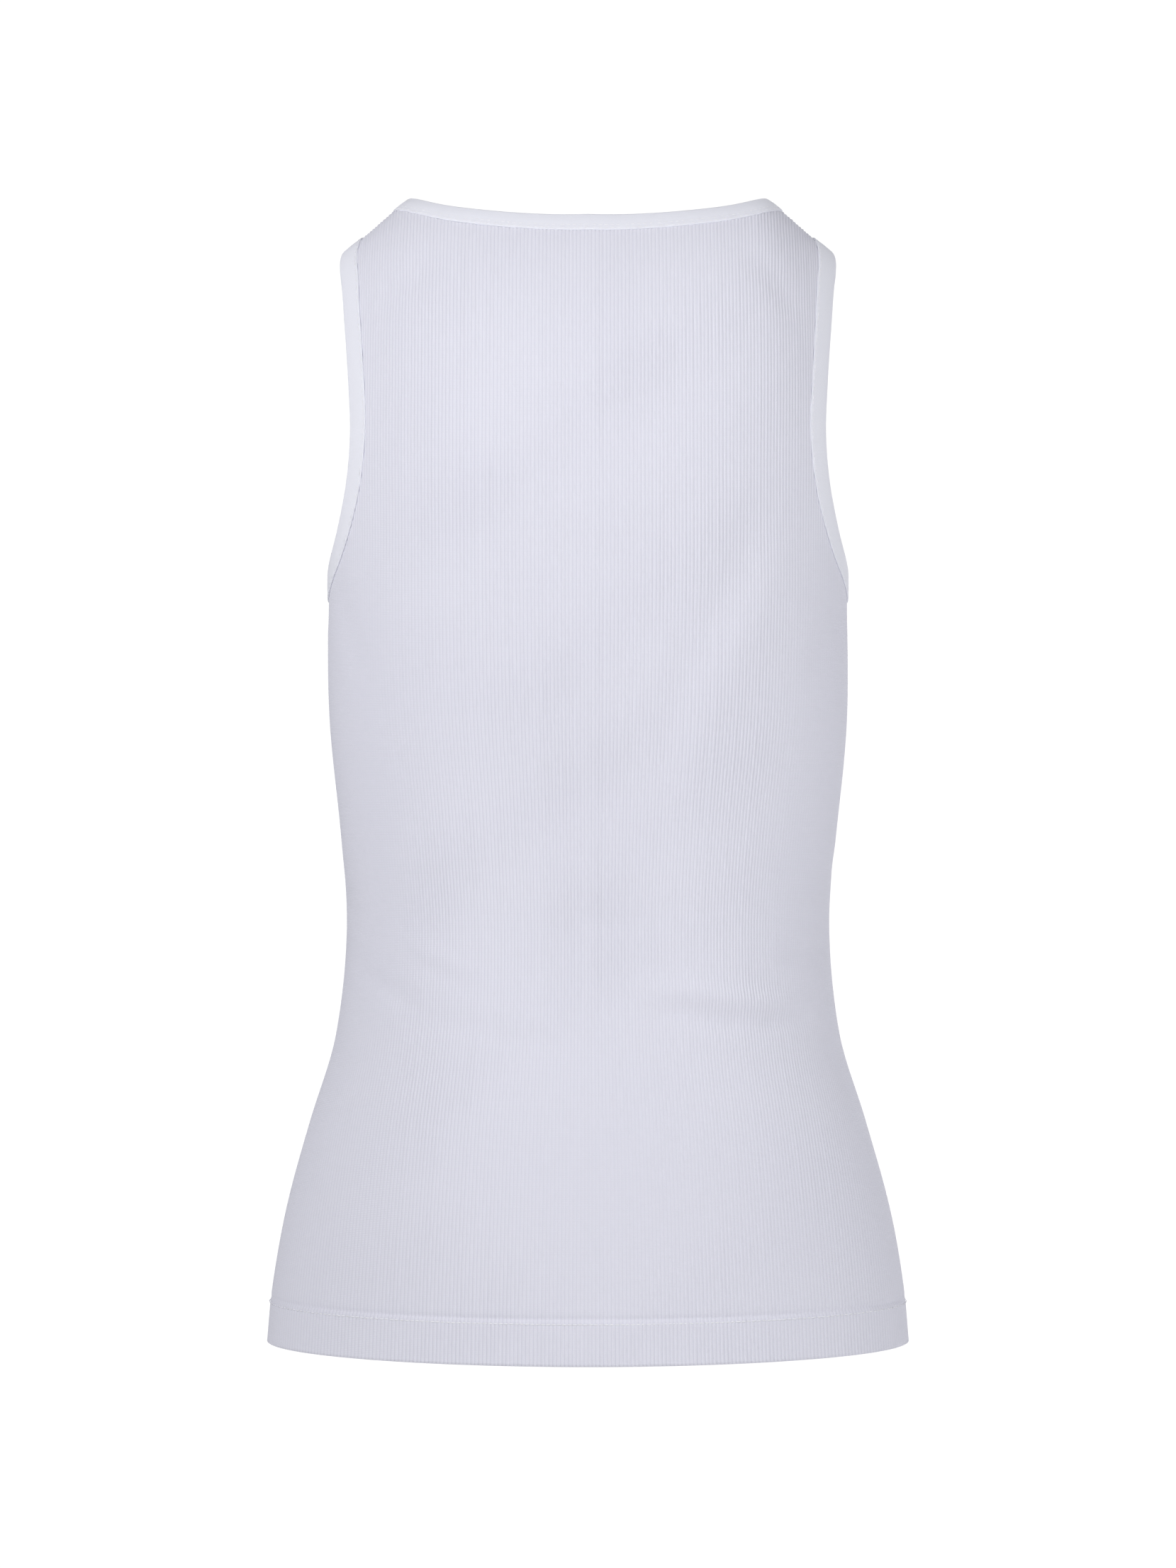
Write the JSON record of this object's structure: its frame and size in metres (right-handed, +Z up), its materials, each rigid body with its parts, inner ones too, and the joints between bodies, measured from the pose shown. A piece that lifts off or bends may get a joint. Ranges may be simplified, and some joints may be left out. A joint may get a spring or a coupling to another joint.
{
  "type": "tank top",
  "caption": "Fine-ribbed sleeveless top held in its worn shape, with a wide shallow back neck, a scooped front neck, broad straps, folded bindings and a flared, turned-up hem.",
  "frame": {"origin": "midway between the two shoulder straps, at the height where the wearer's shoulders carry them", "axes": "+Z up, -Y towards the wearer's back, +X towards the wearer's right"},
  "size_m": [0.3352, 0.22, 0.5956],
  "materials": {
    "rib_knit": "matte cotton rib knit",
    "binding": "matte smooth cotton tape"
  },
  "bodies": {
    "root": {"back": "rib_knit", "front": "rib_knit", "neck_binding": "binding", "armhole_binding_left": "binding", "armhole_binding_right": "binding"}
  },
  "joints": []
}
